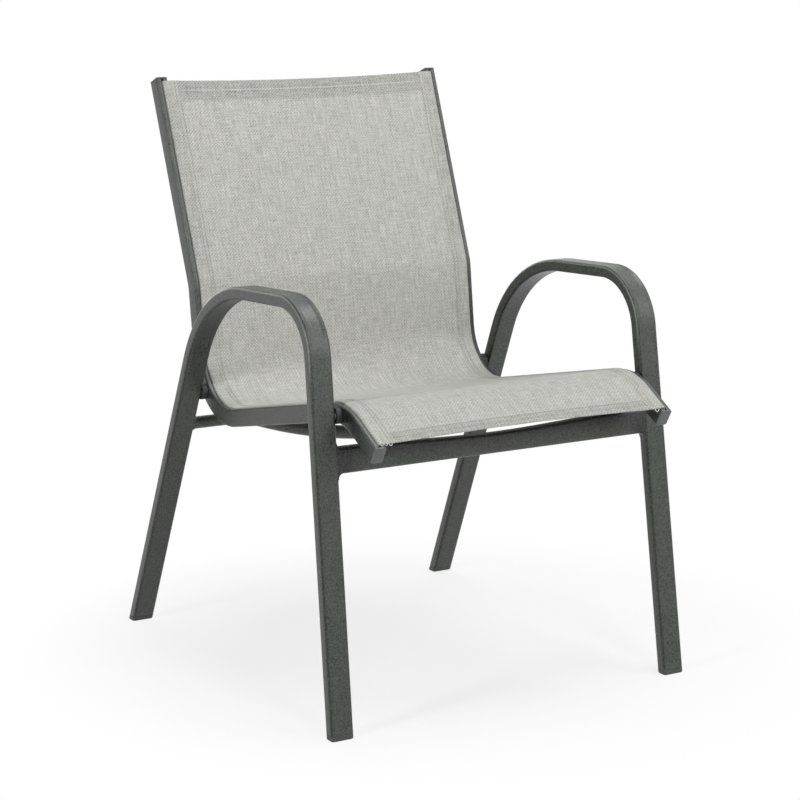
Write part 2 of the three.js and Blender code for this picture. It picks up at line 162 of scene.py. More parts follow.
# Stitching
STITCH_PITCH = 4.4
STITCH_LENGTH = 3.1
STITCH_RADIUS = 0.34
STITCH_ARCH = ((-0.5, -0.25), (-0.3, 0.12), (0, 0.24), (0.3, 0.12), (0.5, -0.25))  # share, height
STITCH_MARGIN = 4  # from the free edges
STITCH_PUCKER = 0.25
PUCKER_REACH = 1.3
SIDE_ROWS = (1.6, 7.4)  # from the inner edge of a side band
TOP_ROWS = (15.4, TOP_HEM - 1.2)
FRONT_ROWS = (FRONT_HEM - 1.2, 9)  # from the front edge
TOP_RIDGE = 0.5  # cloth heaped along the upper row of the top hem
TOP_RIDGE_AT = (0.6, 1.5)
FOLD_LIFT = 0.35  # of the cloth over a folded hem
FOLD_FADE = (2, -1)
THREAD_END = 0.55  # how thin a thread is at its ends
THREAD_SIDE = (0.3, 0.2, 0.93)  # a direction that no thread follows
LOOP_FORWARD = 0.45  # of the drop of a loose loop
LOOP_CLEARANCE = 0.4
LOOSE_YARN = (
    # side, place from the slot, width, drop, radius
    (-1, 4, 5.5, 2.2, 0.55),
    (-1, 10.5, 5.5, 2.8, 0.55),
    (-1, 17.5, 5.5, 3.6, 0.55),
    (1, 15, 6.5, 4.6, 0.65),
)

# Fixings
BOLT_SOCKET = 5  # across the flats
BOLT_SOCKET_DEPTH = 2.4
SOCKET_CHAMFER = 0.2
SOCKET_POINT = 0.2  # middle of its floor, of its width
BOLT_HEAD_HEIGHT = 3.5
BOLT_HEAD_ROUNDING = 0.9
BOLT_DIAMETER = 6
BOLT_CHAMFER = 1
SPACER_ROUNDING = 1.2
INSERT_FLANGE = 1
INSERT_SLEEVE_DIAMETER = 9

# Finishes
COAT_COLOUR = (0.0465, 0.0515, 0.046)
COAT_ROUGHNESS = 0.33
WEAR_FROM = 0.53  # how pointed an edge is where its coat wears
WEAR_GAIN = 3.0
ZINC_COLOUR = (0.42, 0.43, 0.44)
ZINC_ROUGHNESS = 0.36
CLOTH_ROUGHNESS = 0.7
THREAD_ROUGHNESS = 0.6
COOL_YARN = (0.475, 0.492, 0.463, 1)
WARM_YARN = (0.505, 0.489, 0.449, 1)
YARN_RISE = 0.8  # how far a yarn rises where it passes over
GAP_LEVEL = 0.75  # height below which shade is painted into the gaps of the weave

# Fineness
HAIR = 0.01  # less than any real size or turn
BEND_STEP = radians(2)
SHARP_TURN = radians(38)  # faces that turn less look smooth
STATION_STEP = 12  # along tubes with a shaded coat
CORNER_FACETS = 6
EDGE_TURNS = (0, 0.5, 1, pi / 2)  # round a small edge
WIDE_FACETS = 14
LIP_FACETS = 4
ROUND_FACETS = 40
BORE_FACETS = 14
TURN_FACETS = (5, 4)  # down into a slot, and back out
THREAD_FACETS = 5
LOOP_FACETS = 7
WELD_STEPS = 9
LAP_STEPS = 6
FRONT_BAR_STEPS = 24
REAR_BAR_STEPS = 6
SPREADER_STEPS = 16
FOLD_STEPS = 6
LOOP_STEPS = 12
FINE_STEP = 0.9  # between points of the cloth, near its seams
FINE_REACH = (6, 4)  # of those points: inside a side band, and short of the slot
FINE_ROWS = (1.3, 1.4)  # of those points, of the top and front hems
BROAD_COLUMNS = 30
BROAD_ROWS = 150

# Studio, in metres and watts
FLOOR_REACH = 60
FLOOR_WHITE = 0.92
SHADOW_MIDDLE = (0.06, 0, 0)
SHADOW_FADE = {"From Min": 0.27, "From Max": 0.64, "To Min": 0.7, "To Max": 1.0}
SKY_STRENGTH = 0.06
LAMP_AIM = Vector((0, 0, 0.45))
LAMPS = (
    # name, place, width, power
    ("overhead_box", (0.7, -0.1, 2.6), 1.2, 24),
    ("front_box", (-0.3, -2.9, 1.9), 0.7, 25),
    ("left_box", (-2.0, -0.6, 1.3), 0.35, 18),
    ("right_key", (1.65, -2.1, 2.1), 2.0, 33),
    ("rear_strip", (-0.6, 2.5, 1.95), 0.5, 5),
    ("rear_box", (0.4, 2.8, 1.0), 1.0, 14),
)
CAMERA_AZIMUTH = radians(-30.75)
CAMERA_ELEVATION = radians(11.56)
CAMERA_DISTANCE = 3.5
CAMERA_LENS = 103.68
CAMERA_AIM = Vector((0.008, 0.01297, 0.386))


def smooth_step(value, low, high):
    share = min(max((value - low) / (high - low), 0), 1)
    return share * share * (3 - 2 * share)


def middle_of(node):
    """Middle of a solid's box, in millimetres."""
    low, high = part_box(node)
    return (low + high) / 2 / MM


def span_of(node):
    """Size of a solid's box, in millimetres."""
    low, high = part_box(node)
    return (high - low) / MM


# Side view: legs, and upright faces of the right-hand side at a height

def front_leg(z):
    return -FOOT_SPAN / 2 + tan(FRONT_RAKE) * z


def rear_leg(z):
    return FOOT_SPAN / 2 - tan(REAR_RAKE) * z


def frame_outer(z):
    return OUTER_WIDTH / 2 - SIDE_LEAN * z


def frame_middle(z):
    return frame_outer(z) - TUBE_WIDTH / 2


def frame_inner(z):
    return frame_outer(z) - TUBE_WIDTH


SEAT_HALF_WIDTH = frame_inner(SEAT_REAR_HEIGHT) - SIDE_GAP


def rail_outer(z):
    return SEAT_HALF_WIDTH + RAIL_SPLAY * (z - SEAT_REAR_HEIGHT)


def rail_inner(z):
    return rail_outer(z) - RAIL_WIDTH


# The solids are centred over their outline, and the sizes above on the middle of the feet.
# The rear bolts lie in the middle of the rear legs.
REAR_BOLT = middle_of("bolt_rear_right")
SHIFT = REAR_BOLT.y - rear_leg(REAR_BOLT.z)


# Meshes

def add_object(name, data):
    added = bpy.data.objects.new(name, data)
    bpy.context.scene.collection.objects.link(added)
    return added


def make_mesh(name, points, faces):
    """An object from points in millimetres, with its faces turned outwards."""
    mesh = bpy.data.meshes.new(name)
    mesh.from_pydata([(x * MM, (y + SHIFT) * MM, z * MM) for x, y, z in points], [], faces)
    shaped = bmesh.new()
    shaped.from_mesh(mesh)
    bmesh.ops.recalc_face_normals(shaped, faces=shaped.faces)
    shaped.to_mesh(mesh)
    shaped.free()
    mesh.set_sharp_from_angle(angle=SHARP_TURN)
    return add_object(name, mesh)


def set_values(piece, name, kind, field, values):
    """Gives each point of a piece a value that its material reads."""
    layer = piece.data.attributes.new(name, kind, "POINT")
    layer.data.foreach_set(field, values)


def dress(piece, material, slot, *nodes):
    """Gives a piece its finish, and lets it stand for its solids."""
    piece.data.materials.append(material)
    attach(piece, "root")
    if nodes:
        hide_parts(*nodes)
    return piece


def loft(rings, cyclic=False):
    """Points and faces through rings of as many points each, with closed ends unless cyclic."""
    count = len(rings[0])
    points = [point for ring in rings for point in ring]
    last = len(rings)
    pairs = [(i, (i + 1) % last) for i in range(last if cyclic else last - 1)]
    faces = [
        (a * count + k, a * count + (k + 1) % count, b * count + (k + 1) % count, b * count + k)
        for a, b in pairs
        for k in range(count)
    ]
    if not cyclic:
        faces.append(tuple(reversed(range(count))))
        faces.append(tuple(range((last - 1) * count, last * count)))
    return points, faces


def add_pair(name, rings, material, slot, cyclic=False):
    """A right-hand piece and its mirror image, each standing for the solid of its name."""
    points, faces = loft(rings, cyclic)
    mirrored = [(-x, y, z) for x, y, z in points]
    pieces = []
    for side, placed in (("left", mirrored), ("right", points)):
        node = f"{name}_{side}"
        pieces.append(dress(make_mesh(f"{node}.fine", placed, faces), material, slot, node))
    return pieces


def add_single(name, rings, material, slot):
    return dress(make_mesh(f"{name}.fine", *loft(rings)), material, slot, name)


# Outlines, as lists of (x, y)

def arc(x, y, radius, start, end, facets):
    angles = [start + (end - start) * i / facets for i in range(facets + 1)]
    return [(x + radius * cos(angle), y + radius * sin(angle)) for angle in angles]


def rounded_rectangle(left, right, low, high, radius):
    corners = [(right, low, -1, 1), (right, high, -1, -1), (left, high, 1, -1), (left, low, 1, 1)]
    return [
        point
        for i, (x, y, in_x, in_y) in enumerate(corners)
        for point in arc(
            x + in_x * radius, y + in_y * radius, radius, (i - 1) * pi / 2, i * pi / 2, CORNER_FACETS
        )
    ]


def circle(radius, facets=ROUND_FACETS):
    return arc(0, 0, radius, 0, 2 * pi, facets)[1:]


def tube_outline(width, height, corner, inset=0):
    return rounded_rectangle(
        inset - width / 2, width / 2 - inset, inset - height / 2, height / 2 - inset, corner - inset
    )


def with_wide_facets(outline):
    """The outline with more points along its two wide sides."""
    finer = []
    for (x, y), (next_x, next_y) in zip(outline, outline[1:] + outline[:1]):
        steps = WIDE_FACETS if y == next_y else 1
        finer += [(x + (next_x - x) * i / steps, y) for i in range(steps)]
    return finer


def rounded_edge(radius, turns):
    """(down, in) pairs from the flat of an edge round to its side."""
    return [(radius * (1 - cos(turn)), radius * (1 - sin(turn))) for turn in turns]


def rail_outline():
    """Section of a rail, with the slot for the sling and the bore for its rod."""
    mouth = asin(SLOT_WIDTH / 2 / BORE_RADIUS)
    lip = SLOT_WIDTH / 2 + SLOT_ROUNDING
    rim = rounded_rectangle(-RAIL_WIDTH, 0, -RAIL_DEPTH, 0, RAIL_CORNER)[::-1]
    opposite = len(rim) // 2
    return [
        *arc(-SLOT_INSET - lip, -SLOT_ROUNDING, SLOT_ROUNDING, pi / 2, 0, LIP_FACETS),
        *arc(-SLOT_INSET, -BORE_DEPTH, BORE_RADIUS, pi / 2 + mouth, 5 * pi / 2 - mouth, BORE_FACETS),
        *arc(-SLOT_INSET + lip, -SLOT_ROUNDING, SLOT_ROUNDING, pi, pi / 2, LIP_FACETS),
        *rim[opposite:],
        *rim[:opposite],
    ]


# Paths in the side view: corners are (y, z, bend), stations are (y, z, heading)

def heading_of(start, end):
    return atan2(end[1] - start[1], end[0] - start[0])


def apart(start, end):
    return dist(start[:2], end[:2])


def distances_along(points):
    """How far each point lies from the first, by way of those between."""
    run = [0]
    for start, end in zip(points, points[1:]):
        run.append(run[-1] + apart(start, end))
    return run


def between(start, end, share):
    """The station at a share of the way from one to the next."""
    turn = remainder(end[2] - start[2], 2 * pi)
    y = start[0] + (end[0] - start[0]) * share
    z = start[1] + (end[1] - start[1]) * share
    return y, z, start[2] + turn * share


def bent_path(corners):
    """Straight runs with a round bend at each inner corner."""
    stations = [(*corners[0][:2], heading_of(corners[0], corners[1]))]
    for before, corner, after in zip(corners, corners[1:], corners[2:]):
        start = heading_of(before, corner)
        turn = remainder(heading_of(corner, after) - start, 2 * pi)
        setback = corner[2] * tan(abs(turn) / 2)
        radius = copysign(corner[2], turn)
        y = corner[0] - setback * cos(start) - radius * sin(start)
        z = corner[1] - setback * sin(start) + radius * cos(start)
        steps = ceil(abs(turn) / BEND_STEP)
        for angle in (start + turn * step / steps for step in range(steps + 1)):
            stations.append((y + radius * sin(angle), z - radius * cos(angle), angle))
    stations.append((*corners[-1][:2], heading_of(corners[-2], corners[-1])))
    return stations


def towards(start, end, distance):
    share = distance / apart(start, end)
    return start[0] + (end[0] - start[0]) * share, start[1] + (end[1] - start[1]) * share


def shortened(corners, distance):
    first = towards(corners[0], corners[1], distance)
    last = towards(corners[-1], corners[-2], distance)
    return [first, *corners[1:-1], last]


def place_outline(outline, station, face):
    """A ring: the outline across the path at a station, sideways from an upright face."""
    y, z, heading = station
    ring = []
    for x, across in outline:
        height = z - across * cos(heading)
        ring.append((face(height) + x, y + across * sin(heading), height))
    return ring


def along(path, outline, face):
    return [place_outline(outline, station, face) for station in path]


# Side frames and feet

def side_frame_corners():
    floor_end = FOOT_CAP_HEIGHT + FIT
    fall = tan(ARM_FALL)
    front_y = front_leg(ARM_CORNER_HEIGHT)
    fallen = ARM_CORNER_HEIGHT - fall * (FOOT_SPAN / 2 - front_y)
    rear_height = fallen / (1 - fall * tan(REAR_RAKE))
    return [
        (front_leg(floor_end), floor_end),
        (front_y, ARM_CORNER_HEIGHT, FRONT_BEND),
        (rear_leg(rear_height), rear_height, REAR_BEND),
        (rear_leg(floor_end), floor_end),
    ]


def levelled(ring, station):
    """Slides the end of a leg along itself to a level cut."""
    height, heading = station[1:]
    return [
        (frame_middle(height) + x - frame_middle(pz), py + (height - pz) / tan(heading), height)
        for x, py, pz in ring
    ]


def with_more_stations(path):
    """The path with stations no further apart than a step."""
    finer = []
    for start, end in zip(path, path[1:]):
        steps = ceil(apart(start, end) / STATION_STEP)
        finer += [between(start, end, i / steps) for i in range(steps)]
    return finer + path[-1:]


def side_frame_outline(inset):
    return with_wide_facets(tube_outline(TUBE_WIDTH, TUBE_THICKNESS, TUBE_CORNER, inset))


def share_along(part, station):
    """One along a part of a path, fading to nothing beyond its ends."""
    return 1 - smooth_step(min(apart(station, one) for one in part), 0, BEND_FADE)


def sunk(outline, share):
    """The outline with its outer wall fallen in between the corners."""
    flat = TUBE_WIDTH / 2 - TUBE_CORNER
    outer = HAIR - TUBE_THICKNESS / 2
    return [
        (x, y + BEND_SINK * share * max(0, 1 - (x / flat) ** SINK_POWER) * (y < outer))
        for x, y in outline
    ]


def side_frame_skin(path, outline):
    bend = [station for station in path if HAIR - ARM_FALL < station[2] < path[0][2] - HAIR]
    rings = [place_outline(sunk(outline, share_along(bend, at)), at, frame_middle) for at in path]
    for end in (0, -1):
        rings[end] = levelled(rings[end], path[end])
    return rings


def painted_corner_share(x, y, bent):
    """Painted shade: one in a rounded corner, zero on the flats, and below zero, a painted highlight, on the
    ridges beside a bend's corners.
    """
    across = max(0, abs(x) - TUBE_WIDTH / 2 + TUBE_CORNER)
    up = max(0, abs(y) - TUBE_THICKNESS / 2 + TUBE_CORNER)
    if across < HAIR or up < HAIR:
        return 0
    turn = 2 * atan2(up, across)
    if y > 0:
        return sin(turn)
    return (1 - bent) * sin(turn) - bent * sin(2 * turn)


def painted_corner_shares(path, outline):
    arm = [station for station in path if station[2] not in (path[0][2], path[-1][2])]
    bends = [share_along(arm, at) for at in path]
    return [painted_corner_share(x, y, bent) for bent in bends for x, y in outline]


def paint_light_and_shade(piece, shares):
    """Tells the coat how much shade is painted at each point, or how much highlight below zero."""
    set_values(piece, "corner", "FLOAT", "value", shares)


def add_side_frames(material):
    path = with_more_stations(bent_path(side_frame_corners()))
    outer, inner = side_frame_outline(0), side_frame_outline(TUBE_WALL)
    rings = side_frame_skin(path, outer) + side_frame_skin(path, inner)[::-1]
    shares = painted_corner_shares(path, outer)
    for piece in add_pair("side_frame", rings, material, "frame_coat", cyclic=True):
        paint_light_and_shade(piece, shares + [0] * len(shares))


def foot_cap_rings(leg, rake):
    stretch = 1 / cos(rake)

    def ring(outline, z, inset=0):
        narrow = 1 - 2 * inset / TUBE_WIDTH
        thin = 1 - 2 * inset / TUBE_THICKNESS
        return [(frame_middle(z) + x * narrow, leg(z) + across * thin * stretch, z) for x, across in outline]

    skirt = tube_outline(TUBE_WIDTH, TUBE_THICKNESS, TUBE_CORNER)
    plug = tube_outline(TUBE_WIDTH, TUBE_THICKNESS, TUBE_CORNER, TUBE_WALL + FIT)
    rounded = [ring(skirt, up, inset) for up, inset in rounded_edge(FOOT_CAP_EDGE, FOOT_CAP_TURNS)]
    plug_top = FOOT_CAP_HEIGHT + FIT + FOOT_PLUG_LENGTH
    return [*rounded, ring(skirt, FOOT_CAP_HEIGHT), ring(plug, FOOT_CAP_HEIGHT), ring(plug, plug_top)]


def add_foot_caps(material):
    add_pair("foot_cap_front", foot_cap_rings(front_leg, FRONT_RAKE), material, "foot_plastic")
    add_pair("foot_cap_rear", foot_cap_rings(rear_leg, REAR_RAKE), material, "foot_plastic")


# Crossbars and spreader, with the fillets of their welds

def fillet(distance, radius):
    """How far a weld stands out from a bar, at a distance from what the bar is welded to."""
    if distance >= radius:
        return 0
    return radius - sqrt(radius ** 2 - (radius - distance) ** 2)


def bar_shares(half_span, weld_length, lap, steps):
    """(share of the half span, distance from the weld) pairs, close together in the welds."""
    turns = [pi / 2 * i / WELD_STEPS for i in range(WELD_STEPS + 1)]
    weld = [half_span - weld_length * (1 - cos(turn)) for turn in turns]
    plain = [(half_span - weld_length) * i / steps for i in range(steps)]
    lapped = [half_span + lap * (i + 1) / LAP_STEPS for i in range(LAP_STEPS)]
    half = sorted({round(x / half_span, 6) for x in weld + plain + lapped})
    shares = [-share for share in reversed(half[1:])] + half
    return [(share, max(0, half_span * (1 - abs(share)))) for share in shares]


def add_front_crossbar(material):
    height = span_of("front_crossbar").z
    level = middle_of("front_crossbar").z
    outline = tube_outline(FRONT_BAR_THICKNESS, height, TUBE_CORNER)
    half_span = frame_inner(level)
    rings, shares = [], []
    for share, from_leg in bar_shares(half_span, LOWER_FILLET, WELD_LAP, FRONT_BAR_STEPS):
        dish = FRONT_BAR_DISH * (1 + cos(pi * min(abs(share), 1))) / 2
        upper = fillet(from_leg, UPPER_FILLET) - dish
        lower = -fillet(from_leg, LOWER_FILLET)
        ring = []
        for across, up in outline:
            z = level + up + (upper if up > 0 else lower)
            ring.append((share * frame_inner(z), front_leg(z) + across, z))
        rings.append(ring)
        # Painted shade along the top and beside the welds, and painted floor light along the bottom
        beside = PAINTED_WELD_SHADE * (1 - smooth_step(from_leg, *PAINTED_WELD_SHADE_REACH))
        shares += [max(PAINTED_SHADE if up > 0 else -PAINTED_FLOOR_LIGHT, beside - PAINTED_FLOOR_LIGHT) for across, up in outline]
    piece = add_single("front_crossbar", rings, material, "frame_coat")
    paint_light_and_shade(piece, shares)


def add_rear_crossbar(material):
    middle = middle_of("rear_crossbar")
    radius = span_of("rear_crossbar").z / 2
    half_span = frame_inner(middle.z)
    rings = []
    for share, from_leg in bar_shares(half_span, REAR_FILLET, WELD_LAP, REAR_BAR_STEPS):
        swell = fillet(from_leg, REAR_FILLET)
        length = radius + swell
        width = radius - REAR_BAR_PINCH * swell / REAR_FILLET
        ring = []
        for side, up in circle(1):
            z = middle.z + length * up * cos(REAR_RAKE) + width * side * sin(REAR_RAKE)
            y = middle.y - SHIFT - length * up * sin(REAR_RAKE) + width * side * cos(REAR_RAKE)
            ring.append((share * frame_inner(z), y, z))
        rings.append(ring)
    add_single("rear_crossbar", rings, material, "frame_coat")


def add_spreader(material):
    low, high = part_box("seat_spreader")
    radius = (high.y - low.y) / MM / 2
    y = (high.y + low.y) / MM / 2 - SHIFT
    bottom = low.z / MM + radius
    end_level = bottom + SPREADER_BOW
    half_span = rail_inner(end_level)
    bow_radius = (half_span ** 2 + SPREADER_BOW ** 2) / (2 * SPREADER_BOW)
    rings = []
    for share, from_rail in bar_shares(half_span, SPREADER_FILLET, SPREADER_LAP, SPREADER_STEPS):
        slope = asin(share * half_span / bow_radius)
        swell = fillet(from_rail, SPREADER_FILLET)
        ring = []
        for across, up in circle(radius):
            bead = 1 + swell / radius * max(0, up / radius)
            z = bottom + bow_radius * (1 - cos(slope)) + bead * up / cos(slope)
            ring.append((share * rail_inner(z), y + bead * across, z))
        rings.append(ring)
    add_single("seat_spreader", rings, material, "frame_coat")


# Seat rails, their caps and the rods

def rail_corners():
    def run(start, length, angle, bend=None):
        return start[0] + length * cos(angle), start[1] + length * sin(angle), bend

    seat_rear = (SEAT_REAR_SETBACK, SEAT_REAR_HEIGHT, SEAT_REAR_BEND)
    lumbar = run(seat_rear, LOWER_BACK_LENGTH, pi / 2 - LOWER_BACK, LUMBAR_BEND)
    top = run(lumbar, UPPER_BACK_LENGTH, pi / 2 - UPPER_BACK)
    rise = tan(SEAT_RISE)
    reach = SEAT_REAR_SETBACK + FOOT_SPAN / 2 + SEAT_OVERHANG
    front_height = (SEAT_REAR_HEIGHT + reach * rise) / (1 + tan(FRONT_RAKE) * rise)
    seat_front = (front_leg(front_height) - SEAT_OVERHANG, front_height, SEAT_FRONT_BEND)
    tip = run(seat_front, FRONT_DROP_LENGTH, pi + FRONT_DROP)
    return [top, lumbar, seat_rear, seat_front, tip]


def painted_rail_shade(x, y, z):
    """Painted shade on the outer face of a rail, where the front leg passes it."""
    spacer = middle_of("spacer_front_right")
    away = hypot(y + SHIFT + PAINTED_RAIL_SHADE_AHEAD - spacer.y, z - spacer.z)
    outer = x > rail_outer(z) - RAIL_CORNER / 2
    return PAINTED_SHADE * outer * (1 - smooth_step(away, *PAINTED_RAIL_SHADE_REACH))


def add_rails(material):
    path = bent_path(shortened(rail_corners(), RAIL_CAP_THICKNESS + FIT))
    rings = along(with_more_stations(path), rail_outline(), rail_outer)
    # Painted shade beside the front legs
    shares = [painted_rail_shade(*point) for ring in rings for point in ring]
    for piece in add_pair("seat_rail", rings, material, "frame_coat"):
        paint_light_and_shade(piece, shares)


def rail_cap_rings(end, after):
    """Rings of a cap, from its outer face inwards."""
    heading = heading_of(after, end)
    if after[1] < end[1]:
        heading += pi
    rings = []
    for distance, inset in [*rounded_edge(RAIL_CAP_EDGE, EDGE_TURNS), (RAIL_CAP_THICKNESS, 0)]:
        left, low, corner = inset - RAIL_WIDTH, inset - RAIL_DEPTH, RAIL_CORNER - inset
        outline = rounded_rectangle(left, -inset, low, -inset, corner)
        rings.append(place_outline(outline, (*towards(end, after, distance), heading), rail_outer))
    return rings


def add_rail_caps(top_material, front_material):
    corners = rail_corners()
    add_pair("rail_top_cap", rail_cap_rings(corners[0], corners[1]), top_material, "cap_plastic")
    add_pair("rail_front_cap", rail_cap_rings(corners[-1], corners[-2]), front_material, "cap_plastic")


def add_rods(material):
    outline = [(x - SLOT_INSET, y - BORE_DEPTH) for x, y in circle(ROD_DIAMETER / 2, BORE_FACETS)]
    add_pair("sling_rod", along(PATH, outline, rail_outer), material, "rod_plastic")


# Fixings, turned round an axis along X

def turned(node, profile):
    """Rings from (distance from the inner end, radius) pairs; a radius can be a function of the angle."""
    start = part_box(node)[0].x / MM
    middle = middle_of(node)
    rings = []
    for distance, radius in profile:
        rings.append([])
        for angle in (2 * pi * k / ROUND_FACETS for k in range(ROUND_FACETS)):
            out = radius(angle) if callable(radius) else radius
            y = middle.y - SHIFT + out * cos(angle)
            rings[-1].append((start + distance, y, middle.z + out * sin(angle)))
    return rings


def turned_edge(rim, rounding):
    """(distance, radius) pairs round the inner edge of a rim."""
    return [(along_x, rim - inset) for inset, along_x in reversed(rounded_edge(rounding, EDGE_TURNS))]


def socket_radius(angle):
    """Radius of a hexagon across the flats, at an angle."""
    sixth = pi / 3
    return BOLT_SOCKET / 2 / cos(angle % sixth - sixth / 2)


def add_bolt(place, material):
    node = f"bolt_{place}_right"
    head = span_of(node).z / 2
    shank = BOLT_DIAMETER / 2
    length = span_of(node).x
    profile = [
        (BOLT_SOCKET_DEPTH, lambda angle: SOCKET_POINT * socket_radius(angle)),
        (BOLT_SOCKET_DEPTH, socket_radius),
        (SOCKET_CHAMFER, socket_radius),
        (0, lambda angle: socket_radius(angle) + SOCKET_CHAMFER),
        *turned_edge(head, BOLT_HEAD_ROUNDING),
        (BOLT_HEAD_HEIGHT, head),
        (BOLT_HEAD_HEIGHT, shank),
        (length - BOLT_CHAMFER, shank),
        (length, shank - BOLT_CHAMFER),
    ]
    add_pair(f"bolt_{place}", turned(node, profile), material, "bolt_steel")


def add_spacer(place, material):
    node = f"spacer_{place}_right"
    length = span_of(node).x
    bore = BOLT_DIAMETER / 2 + FIT
    inner = turned_edge(span_of(node).z / 2, SPACER_ROUNDING)
    outer = [(length - along_x, radius) for along_x, radius in reversed(inner)]
    rings = turned(node, [(0, bore), *inner, *outer, (length, bore)])
    add_pair(f"spacer_{place}", rings, material, "spacer_plastic", cyclic=True)


def add_insert(place, material):
    node = f"threaded_insert_{place}_right"
    bore = BOLT_DIAMETER / 2 + FIT
    rim = span_of(node).z / 2
    sleeve = INSERT_SLEEVE_DIAMETER / 2
    length = span_of(node).x
    flange = [(0, bore), (0, rim), (INSERT_FLANGE, rim), (INSERT_FLANGE, sleeve)]
    rings = turned(node, [*flange, (length, sleeve), (length, bore)])
    add_pair(f"threaded_insert_{place}", rings, material, "insert_steel", cyclic=True)


# Sling: one sheet whose sides go down the slots, round the rods and back under the side bands

SLOT_X = SEAT_HALF_WIDTH - SLOT_INSET
BAND_X = SLOT_X - SIDE_BAND
FREE_X = SEAT_HALF_WIDTH - RAIL_WIDTH
REST = FIT + SLING_THICKNESS / 2  # middle of the lower layer, over the rails
PATH = bent_path(shortened(rail_corners(), SLING_INSET))
DISTANCES = distances_along(PATH)
SLING_LENGTH = DISTANCES[-1]
SIDE_SEAMS = [BAND_X + row for row in SIDE_ROWS]
HEM_SEAMS = [*TOP_ROWS, *(SLING_LENGTH - row for row in FRONT_ROWS)]


def station_at(distance):
    """The station at a distance from the top edge."""
    i = 1
    while i < len(DISTANCES) - 1 and DISTANCES[i] < distance:
        i += 1
    share = (distance - DISTANCES[i - 1]) / (DISTANCES[i] - DISTANCES[i - 1])
    return between(PATH[i - 1], PATH[i], share)


def sag_at(x):
    return SLING_SAG * max(0, 1 - (x / FREE_X) ** 2)


def drawn_back(x, distance):
    """Where a line of the cut cloth ends up, as tension draws the free edges back."""
    bow = max(0, 1 - (x / BAND_X) ** 2)
    hem = BAND_OVERHANG * (1 - smooth_step(abs(x) - BAND_X, *OVERHANG_FADE))
    from_front = SLING_LENGTH - distance
    top = (hem + TOP_DIP * bow) * max(0, 1 - distance / DIP_REACH) ** 2
    front = (hem + FRONT_DIP * bow) * max(0, 1 - from_front / DIP_REACH) ** 2
    return distance + top - front


def near(value, row, reach):
    """One on a row, falling away to nothing beyond the reach."""
    return exp(-((value - row) / reach) ** 2)


def seam_relief(x, distance):
    """Cloth raised over the hems, pulled in under the rows of stitches, and heaped along the upper one."""
    seams = [near(abs(x), row, PUCKER_REACH) for row in SIDE_SEAMS]
    seams += [near(distance, row, PUCKER_REACH) for row in HEM_SEAMS]
    ridge = near(distance - HEM_SEAMS[0], *TOP_RIDGE_AT) * (abs(x) < BAND_X)
    top_fold = smooth_step(distance - TOP_HEM, *FOLD_FADE)
    front_fold = smooth_step(SLING_LENGTH - distance - FRONT_HEM, *FOLD_FADE)
    return TOP_RIDGE * ridge - STITCH_PUCKER * min(sum(seams), 1) + FOLD_LIFT * (top_fold + front_fold)


def painted_seam_shading(x, distance):
    """Painted shade beside the stitches, and a painted highlight on the ridge of the top hem, with painted
    shade either side of it.
    """
    if abs(x) > BAND_X - 1:
        return -SIDE_STITCH_SHADE * max(near(abs(x), row, STITCH_SHADE_REACH) for row in SIDE_SEAMS)
    front = max(near(distance, row, STITCH_SHADE_REACH) for row in HEM_SEAMS[2:])
    from_row = distance - HEM_SEAMS[0]
    shade = sum(near(from_row, *at) for at in RIDGE_SHADES_AT)
    return RIDGE_LIGHT * near(from_row, *RIDGE_LIGHT_AT) - RIDGE_SHADE * shade - FRONT_STITCH_SHADE * front


def painted_layer_shade(x, distance):
    """Painted shade where doubled cloth lets less light through: the sides, most of all up the back, and the
    hems.
    """
    if abs(x) > BAND_X:
        outer = smooth_step(abs(x) - SIDE_SEAMS[1], 0, OUTER_FADE)
        return -BAND_SHADE - BACK_BAND_SHADE * outer * smooth_step(distance, *BACK_FADE)
    if distance < TOP_HEM:
        return -TOP_HEM_SHADE
    return -FRONT_HEM_SHADE * (distance > SLING_LENGTH - FRONT_HEM)


def ripple(x, distance):
    """Slight unevenness of the stretched cloth."""
    return sum(
        height * noise.noise(Vector((x / width, distance / length, seed)))
        for height, width, length, seed in RIPPLES
    )


def cloth_point(x, distance, depth):
    """A point of the sling, from its place across, along the cut and over the sling face."""
    y, z, heading = station_at(drawn_back(x, distance))
    height = z - depth * cos(heading)
    return x * rail_outer(height) / SEAT_HALF_WIDTH, y + depth * sin(heading), height


def top_depth(x, distance):
    """Middle of the upper layer, over the sling face."""
    lift = LAYER_STEP * smooth_step(abs(x) - BAND_X, *BAND_LIFT)
    calm = 1 - smooth_step(abs(x), BAND_X, FREE_X)
    return REST + lift - sag_at(x) + seam_relief(x, distance) + ripple(x, distance) * calm


def side_columns():
    """Places across the right-hand side: (x, depth or None on the upper layer), from the slot inwards."""
    upper = REST + LAYER_STEP
    inner = SLOT_X - SLOT_WIDTH / 2 + SLING_THICKNESS / 2
    outer = inner + SLING_THICKNESS
    wrap = ROD_DIAMETER / 2 + FIT + SLING_THICKNESS / 2
    start = pi / 2 - asin((outer - SLOT_X) / wrap)
    end = asin((SLOT_X - inner) / wrap) - 3 * pi / 2
    over = arc(outer - SLOT_TURN, upper - SLOT_TURN, SLOT_TURN, pi / 2, 0, TURN_FACETS[0])
    around = arc(SLOT_X, -BORE_DEPTH, wrap, start, end, BORE_FACETS)
    back = arc(inner - RETURN_TURN, REST - RETURN_TURN, RETURN_TURN, 0, pi / 2, TURN_FACETS[1])
    under = [(BAND_X + SIDE_BAND * share, REST) for share in BAND_SHARES]
    return over + around + back + under


